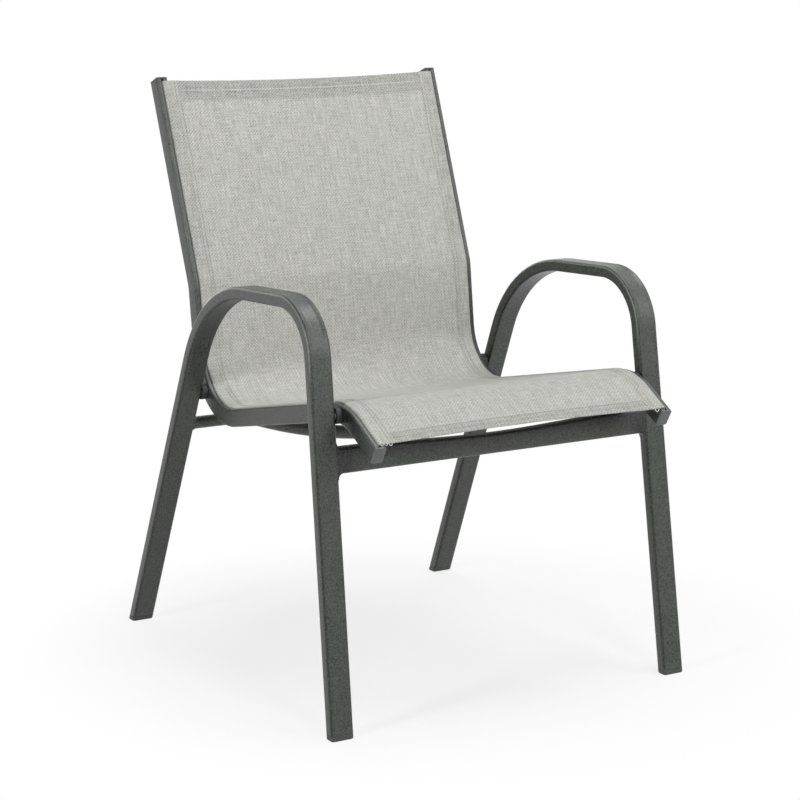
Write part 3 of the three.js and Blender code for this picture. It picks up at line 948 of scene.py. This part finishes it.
def sling_columns():
    """Every place across the sling, from the hidden end on the left to the one on the right."""
    right = side_columns()
    first = BAND_X - FINE_REACH[0]
    fine_count = int((SLOT_X - BAND_X + (FINE_REACH[0] - FINE_REACH[1])) / FINE_STEP)
    fine = [first + FINE_STEP * i for i in range(fine_count)]
    broad = [first * i / BROAD_COLUMNS for i in range(1 - BROAD_COLUMNS, BROAD_COLUMNS)]
    upper = [(x, None) for x in [*(-x for x in reversed(fine)), *broad, *fine]]
    return [(-x, depth) for x, depth in reversed(right)] + upper + right


def sling_rows():
    """Distances of the rows from the top edge, close together along both hems."""
    fold = LAYER_STEP / 2
    top_count = int(FINE_ROWS[0] * TOP_HEM / FINE_STEP)
    front_count = int(FINE_ROWS[1] * FRONT_HEM / FINE_STEP)
    fine_top = [fold + FINE_STEP * i for i in range(top_count)]
    fine_front = [SLING_LENGTH - fold - FINE_STEP * i for i in range(front_count)]
    start, end = fine_top[-1], fine_front[-1]
    middle = [start + (end - start) * i / BROAD_ROWS for i in range(1, BROAD_ROWS)]
    return fine_top + middle + fine_front[::-1]


def across_cloth(columns):
    """How far along the cut cloth each column lies from the middle."""
    flat = [(x, REST + LAYER_STEP if depth is None else depth) for x, depth in columns]
    run = distances_along(flat)
    return [place - run[-1] / 2 for place in run]


def hem_steps(depth_of_hem):
    """A folded hem as (distance from the edge, drop) pairs: round the fold, then under the cloth."""
    turns = [pi * i / FOLD_STEPS for i in range(1, FOLD_STEPS + 1)]
    fold = [(distance, drop) for drop, distance in rounded_edge(LAYER_STEP / 2, turns)]
    return fold + [(depth_of_hem * share, LAYER_STEP) for share in HEM_SHARES]


def add_sling(material):
    """The sheet, with its hems folded under at the top and front."""
    columns = sling_columns()
    across = across_cloth(columns)
    rows = sling_rows()
    points, weave, painted_shading, faces = [], [], [], []

    def add_row(distance, picked, drop, cut):
        first = len(points)
        for k in picked:
            x, depth = columns[k]
            over = top_depth(x, distance) if depth is None else depth - sag_at(x) * (depth == REST)
            points.append(cloth_point(x, distance, over - drop))
            weave.extend((across[k] * MM, cut * MM, 0))
            # Painted shade and highlights of the seams and the doubled cloth
            painted_shading.append(painted_seam_shading(x, distance) + painted_layer_shade(x, distance))
        return first

    def bridge(first, second, count):
        faces.extend((first + k, first + k + 1, second + k + 1, second + k) for k in range(count - 1))

    starts = [add_row(distance, range(len(columns)), 0, distance) for distance in rows]
    for first, second in zip(starts, starts[1:]):
        bridge(first, second, len(columns))
    hem_x = BAND_X - HEM_CLEARANCE
    inside = [k for k, (x, depth) in enumerate(columns) if depth is None and abs(x) < hem_x]
    hems = ((starts[0], 0, 1, TOP_HEM), (starts[-1], SLING_LENGTH, -1, FRONT_HEM))
    for start, edge, inward, hem in hems:
        previous = start + inside[0]
        for from_edge, drop in hem_steps(hem):
            current = add_row(edge + inward * from_edge, inside, drop, edge - inward * from_edge)
            bridge(current, previous, len(inside))
            previous = current
    sling = make_mesh("sling.cloth", points, faces)
    sling.data.shade_smooth()
    set_values(sling, "weave", "FLOAT_VECTOR", "vector", weave)
    set_values(sling, "painted_shading", "FLOAT", "value", painted_shading)
    thick = sling.modifiers.new("thickness", "SOLIDIFY")
    thick.thickness = SLING_THICKNESS * MM
    thick.offset = 0
    dress(sling, material, "sling_weave", "sling")
    cut_width = (across[-1] - across[0]) * MM
    cut_length = (SLING_LENGTH + TOP_HEM + FRONT_HEM) * MM
    hems_area = 2 * BAND_X * (TOP_HEM + FRONT_HEM) * MM * MM
    return sling, (cut_width, cut_length), cut_width * SLING_LENGTH * MM + hems_area


# Stitching and loose yarn

def thread(points, radius, facets=THREAD_FACETS):
    """Rings of a thread through points in millimetres."""
    angles = [2 * pi * k / facets for k in range(facets)]
    last = len(points) - 1
    rings = []
    for i, point in enumerate(points):
        before, after = points[max(i - 1, 0)], points[min(i + 1, last)]
        line = (Vector(after) - Vector(before)).normalized()
        side = line.cross(Vector(THREAD_SIDE)).normalized()
        up = side.cross(line)
        size = radius * (THREAD_END if i in (0, last) else 1)
        rings.append([tuple(Vector(point) + size * (side * cos(a) + up * sin(a))) for a in angles])
    return rings


def joined_lofts(groups):
    points, faces = [], []
    for rings in groups:
        more_points, more_faces = loft(rings)
        faces.extend(tuple(k + len(points) for k in face) for face in more_faces)
        points.extend(more_points)
    return points, faces


def stitch(x, distance, step_x, step_distance):
    """One stitch lying on the cloth, dipping into it at both ends."""
    points = []
    for share, rise in STITCH_ARCH:
        place_x = x + step_x * share
        place = distance + step_distance * share
        depth = top_depth(place_x, place) + SLING_THICKNESS / 2 + rise
        points.append(cloth_point(place_x, place, depth))
    return thread(points, STITCH_RADIUS)


def side_stitches():
    count = int((SLING_LENGTH - 2 * STITCH_MARGIN) / STITCH_PITCH)
    return [
        stitch(side * row, STITCH_MARGIN + STITCH_PITCH * (i + 0.5), 0, STITCH_LENGTH)
        for row in SIDE_SEAMS
        for side in (-1, 1)
        for i in range(count)
    ]


def hem_stitches(rows):
    half = int((BAND_X - HEM_CLEARANCE) / STITCH_PITCH)
    places = [STITCH_PITCH * i for i in range(-half, half + 1)]
    return [stitch(x, row, STITCH_LENGTH, 0) for row in rows for x in places]


def add_stitching(name, stitches, material):
    return dress(make_mesh(f"sling.{name}", *joined_lofts(stitches)), material, "sling_weave")


def loose_loop(x, width, drop, radius):
    """A loop of yarn hanging from the front edge, where a row of stitches ends."""
    points = []
    for i in range(LOOP_STEPS + 1):
        angle = pi * i / LOOP_STEPS
        out_x = x - width / 2 * cos(angle)
        edge = cloth_point(out_x, SLING_LENGTH - 1, top_depth(out_x, SLING_LENGTH))
        hang = drop * sin(angle)
        points.append((edge[0], edge[1] - LOOP_FORWARD * hang - LOOP_CLEARANCE, edge[2] - hang))
    return thread(points, radius, LOOP_FACETS)


def add_loose_yarn(material):
    loops = [loose_loop(side * (SLOT_X - inward), *sizes) for side, inward, *sizes in LOOSE_YARN]
    return add_stitching("loose_yarn", loops, material)


# Materials

class Nodes:
    """A tree of nodes, and short calls for them."""

    def __init__(self, tree):
        self.tree = tree

    def feed(self, node, inputs):
        for key, value in inputs.items():
            if isinstance(value, bpy.types.NodeSocket):
                self.tree.links.new(value, node.inputs[key])
            else:
                node.inputs[key].default_value = value

    def add(self, kind, inputs=None, **settings):
        node = self.tree.nodes.new("ShaderNode" + kind)
        for key, value in settings.items():
            setattr(node, key, value)
        self.feed(node, inputs or {})
        return node

    def math(self, operation, *values):
        return self.add("Math", dict(enumerate(values)), operation=operation).outputs[0]

    def seen(self):
        """One for the camera, in mirrors and through glass, and zero for light on its way."""
        rays = self.add("LightPath").outputs
        direct = self.math("MAXIMUM", rays["Is Camera Ray"], rays["Is Glossy Ray"])
        return self.math("MAXIMUM", direct, rays["Is Transmission Ray"])


class Shade(Nodes):
    """A material and what its looks are put together from."""

    def __init__(self, name):
        self.material = bpy.data.materials.new(name)
        self.material.use_nodes = True
        super().__init__(self.material.node_tree)
        self.shader = self.tree.nodes["Principled BSDF"]

    def place(self):
        return self.add("TexCoord").outputs["Object"]

    def stretched(self, place, x, y, z=1):
        """Coordinates multiplied along each axis."""
        return self.add("VectorMath", {0: place, 1: (x, y, z)}, operation="MULTIPLY").outputs[0]

    def noise(self, place, size, detail=2):
        """Noise of a grain size in millimetres, from about -0.5 to 0.5."""
        node = self.add("TexNoise", {"Vector": place, "Scale": 1 / (size * MM), "Detail": detail})
        return self.math("SUBTRACT", node.outputs[0], 0.5)

    def total(self, start, *parts):
        """start plus each value times its weight."""
        result = start
        for value, weight in parts:
            result = self.math("MULTIPLY_ADD", value, weight, result)
        return result

    def finished(self, colour, tone, roughness, height, depth, strength=1):
        """The material, its colour made lighter or darker by a tone of about 1."""
        painted = self.add("VectorMath", {0: colour, "Scale": tone}, operation="SCALE").outputs[0]
        bump = self.add("Bump", {"Height": height, "Distance": depth * MM, "Strength": strength})
        self.feed(self.shader, {"Base Color": painted, "Roughness": roughness, "Normal": bump.outputs[0]})
        return self.material


def powder_coat():
    """Speckled powder coat, a little worn on sharp edges, with painted shade along the rounded corners, under
    the seat, beside the welds and on the rails beside the front legs, and painted highlights on the ridges of
    the bends and along the bottom of the front bar.
    """
    shade = Shade("frame_coat")
    place = shade.place()
    grain = shade.noise(place, 1.8)
    fleck = shade.noise(place, 3.4)
    cloud = shade.noise(place, 60)
    pointy = shade.add("NewGeometry").outputs["Pointiness"]
    edge = shade.math("MAXIMUM", shade.math("SUBTRACT", pointy, WEAR_FROM), 0.0)
    worn = shade.math("MULTIPLY", edge, WEAR_GAIN)
    # Painted light and shade: corner values above zero darken the coat (line), those below zero lighten it
    # (ridge)
    corner = shade.add("Attribute", attribute_name="corner").outputs["Fac"]
    ridge = shade.math("MAXIMUM", shade.math("MULTIPLY", corner, -1.0), 0.0)
    line = shade.math("POWER", shade.math("MAXIMUM", corner, 0.0), 2.0)
    tone = shade.total(1.0, (grain, 3.4), (fleck, 1.2), (cloud, 0.3), (worn, 1.0), (line, -0.8), (ridge, 3.2))
    roughness = shade.total(COAT_ROUGHNESS, (fleck, 0.3), (cloud, 0.2))
    return shade.finished(COAT_COLOUR, tone, roughness, shade.total(0.0, (grain, 1.0), (fleck, 0.5)), 0.4)


def moulded(name, colour, roughness):
    """Moulded plastic with a fine spark-eroded texture."""
    shade = Shade(name)
    place = shade.place()
    grain = shade.noise(place, 0.7)
    streak = shade.noise(shade.stretched(place, 1, 0.15, 0.15), 1.6)
    cloud = shade.noise(place, 16)
    shade.feed(shade.shader, {"Specular IOR Level": 0.3})
    tone = shade.total(1.0, (grain, 0.5), (streak, 0.7), (cloud, 0.5))
    return shade.finished(colour, tone, shade.total(roughness, (grain, 0.3)), grain, 0.15)


def zinc(name):
    """Zinc-plated steel with turning marks."""
    shade = Shade(name)
    place = shade.place()
    turning = shade.noise(shade.stretched(place, 6, 1, 1), 0.8)
    bloom = shade.noise(place, 4, 3)
    shade.feed(shade.shader, {"Metallic": 1})
    tone = shade.total(1.0, (turning, 0.4), (bloom, 0.6))
    return shade.finished(ZINC_COLOUR, tone, shade.total(ZINC_ROUGHNESS, (bloom, 0.4)), turning, 0.05)


def strips(shade, place, pitch):
    """Strips of a pitch: the number of a strip, and the place across it from -1 to 1."""
    scaled = shade.math("DIVIDE", place, pitch * MM)
    share = shade.math("FRACT", scaled)
    return shade.math("FLOOR", scaled), shade.math("MULTIPLY_ADD", share, 2.0, -1.0)


def rounded_yarn(shade, across, along, over):
    """Height of a yarn: round across, and rising where its pair passes over."""
    body = shade.math("SUBTRACT", 1.0, shade.math("MULTIPLY", across, across))
    wave = shade.math("COSINE", shade.math("MULTIPLY", along, pi / 2))
    return shade.math("MULTIPLY_ADD", shade.math("MULTIPLY", wave, over), YARN_RISE, body)


def weave():
    """Basket weave of paired coated yarns, each yarn with its own tone and thick and thin places, with
    painted shade in its gaps and the painted shading of the seams and hems.
    """
    shade = Shade("sling_weave")
    shade.feed(shade.shader, {"Sheen Weight": 0.15, "Sheen Roughness": 0.5, "Specular IOR Level": 0.35})
    cloth = shade.add("Attribute", attribute_name="weave").outputs["Vector"]
    parts = shade.add("SeparateXYZ", {0: cloth}).outputs
    warp_pair, along_weft = strips(shade, parts[0], 2 * YARN_PITCH)
    weft_pair, along_warp = strips(shade, parts[1], 2 * YARN_PITCH)
    warp, across_warp = strips(shade, parts[0], YARN_PITCH)
    weft, across_weft = strips(shade, parts[1], YARN_PITCH)
    odd = shade.math("FLOORED_MODULO", shade.math("ADD", warp_pair, weft_pair), 2.0)
    over = shade.math("MULTIPLY_ADD", odd, 2.0, -1.0)
    under = shade.math("MULTIPLY", over, -1.0)
    warp_height = rounded_yarn(shade, across_warp, along_warp, over)
    weft_height = rounded_yarn(shade, across_weft, along_weft, under)
    height = shade.math("MAXIMUM", warp_height, weft_height)
    warp_shows = shade.math("GREATER_THAN", warp_height, weft_height)
    warp_tone = shade.noise(shade.stretched(cloth, 1, 0.07), 1.9, 1)
    weft_tone = shade.noise(shade.stretched(cloth, 0.07, 1), 1.9, 1)
    long_slub = shade.noise(shade.stretched(cloth, 1, 0.03), 3.4, 1)
    shown = shade.add("Mix", {0: warp_shows, 2: weft_tone, 3: warp_tone}).outputs[0]
    cell = shade.add("CombineXYZ", {0: warp, 1: weft}).outputs[0]
    crossing = shade.math("SUBTRACT", shade.add("TexWhiteNoise", {"Vector": cell}).outputs[0], 0.5)
    slub = shade.noise(shade.stretched(cloth, 0.4, 0.4), 1.8)
    patch = shade.noise(cloth, 26)
    # Painted shade in the gaps between the yarns
    painted_gap_shade = shade.math("MINIMUM", shade.math("SUBTRACT", height, GAP_LEVEL), 0.0)
    side = shade.math("SUBTRACT", warp_shows, 0.5)
    # Painted shade and highlights of the seams and the doubled cloth
    painted_shading = shade.add("Attribute", attribute_name="painted_shading").outputs["Fac"]
    yarn = shade.total(1.0, (shown, 0.6), (warp_tone, 0.3), (weft_tone, 0.25), (long_slub, 0.25))
    worked = shade.total(yarn, (crossing, 0.2), (slub, 0.2), (patch, 0.12))
    tone = shade.total(worked, (painted_gap_shade, 0.7), (side, 0.24), (painted_shading, 1.0))
    warmth = shade.math("ADD", shade.noise(cloth, 7, 1), 0.5)
    colour = shade.add("Mix", {0: warmth, 6: COOL_YARN, 7: WARM_YARN}, data_type="RGBA")
    return shade.finished(colour.outputs[2], tone, CLOTH_ROUGHNESS, height, 0.22, 0.8)


def sewing_thread(name, colour):
    shade = Shade(name)
    twist = shade.noise(shade.place(), 0.5)
    return shade.finished(colour, shade.total(1.0, (twist, 0.6)), THREAD_ROUGHNESS, twist, 0.1)


# Studio

def floor_material():
    """White floor that keeps the chair's shadow near the chair."""
    shade = Shade("studio_floor")
    away = shade.add("VectorMath", {0: shade.place(), 1: SHADOW_MIDDLE}, operation="DISTANCE")
    glow_share = shade.add("MapRange", {"Value": away.outputs["Value"], **SHADOW_FADE})
    paper = shade.add("BsdfDiffuse", {"Color": (FLOOR_WHITE, FLOOR_WHITE, FLOOR_WHITE, 1)})
    glow = shade.add("Emission", {"Color": (1, 1, 1, 1), "Strength": 1.0})
    share = shade.math("MULTIPLY", shade.seen(), glow_share.outputs[0])
    mixed = shade.add("MixShader", {0: share, 1: paper.outputs[0], 2: glow.outputs[0]})
    shade.tree.nodes.remove(shade.shader)
    shade.feed(shade.tree.nodes["Material Output"], {"Surface": mixed.outputs[0]})
    return shade.material


def add_floor():
    mesh = bpy.data.meshes.new("studio_floor")
    corners = [(x * FLOOR_REACH, y * FLOOR_REACH, 0) for x, y in ((-1, -1), (1, -1), (1, 1), (-1, 1))]
    mesh.from_pydata(corners, [], [(0, 1, 2, 3)])
    mesh.materials.append(floor_material())
    add_object("studio_floor", mesh)


def light_world():
    """White all round for the camera and for reflections, and a soft sky for the rest."""
    world = bpy.data.worlds.new("studio")
    bpy.context.scene.world = world
    world.use_nodes = True
    sky = Nodes(world.node_tree)
    sky.tree.nodes.clear()
    strength = sky.add("MapRange", {"Value": sky.seen(), "To Min": SKY_STRENGTH}).outputs[0]
    white = sky.add("Background", {"Color": (1, 1, 1, 1), "Strength": strength}).outputs[0]
    sky.add("OutputWorld", {"Surface": white})


def add_aimed(name, data, place, aim):
    aimed = add_object(name, data)
    aimed.location = place
    aimed.rotation_euler = (aim - place).to_track_quat("-Z", "Y").to_euler()
    return aimed


def add_lamps():
    for name, place, width, power in LAMPS:
        lamp = bpy.data.lights.new(name, "AREA")
        lamp.size = width
        lamp.energy = power
        add_aimed(name, lamp, Vector(place), LAMP_AIM)


def add_camera():
    level = cos(CAMERA_ELEVATION)
    back = Vector((sin(CAMERA_AZIMUTH) * level, -cos(CAMERA_AZIMUTH) * level, sin(CAMERA_ELEVATION)))
    lens = bpy.data.cameras.new("portrait")
    lens.lens = CAMERA_LENS
    place = CAMERA_AIM + CAMERA_DISTANCE * back
    bpy.context.scene.camera = add_aimed("portrait", lens, place, CAMERA_AIM)


# Assembly

add_camera()
add_lamps()
light_world()
add_floor()

coat = powder_coat()
foot_plastic = moulded("foot_plastic", (0.075, 0.08, 0.076), 0.5)
dark_plastic = moulded("dark_plastic", (0.028, 0.03, 0.03), 0.55)
cap_plastic = moulded("cap_plastic", (0.13, 0.135, 0.135), 0.45)
top_plastic = moulded("top_plastic", (0.05, 0.053, 0.053), 0.5)
bolt_steel = zinc("bolt_steel")
cloth_weave = weave()
light_thread = sewing_thread("light_thread", (0.68, 0.68, 0.64))
dark_thread = sewing_thread("dark_thread", (0.3, 0.3, 0.285))
grey_thread = sewing_thread("grey_thread", (0.4, 0.4, 0.38))

add_side_frames(coat)
add_foot_caps(foot_plastic)
add_front_crossbar(coat)
add_rear_crossbar(coat)
add_rails(coat)
add_rail_caps(top_plastic, cap_plastic)
add_spreader(coat)
add_rods(dark_plastic)
for end in ("front", "rear"):
    add_spacer(end, dark_plastic)
    add_bolt(end, bolt_steel)
    add_insert(end, bolt_steel)

sheet, cut_size, cut_area = add_sling(cloth_weave)
seams = [
    add_stitching("side_stitching", side_stitches(), dark_thread),
    add_stitching("top_stitching", hem_stitches(HEM_SEAMS[:2]), light_thread),
    add_stitching("front_stitching", hem_stitches(HEM_SEAMS[2:]), grey_thread),
    add_loose_yarn(light_thread),
]

bpy.context.scene.view_settings.view_transform = "Standard"
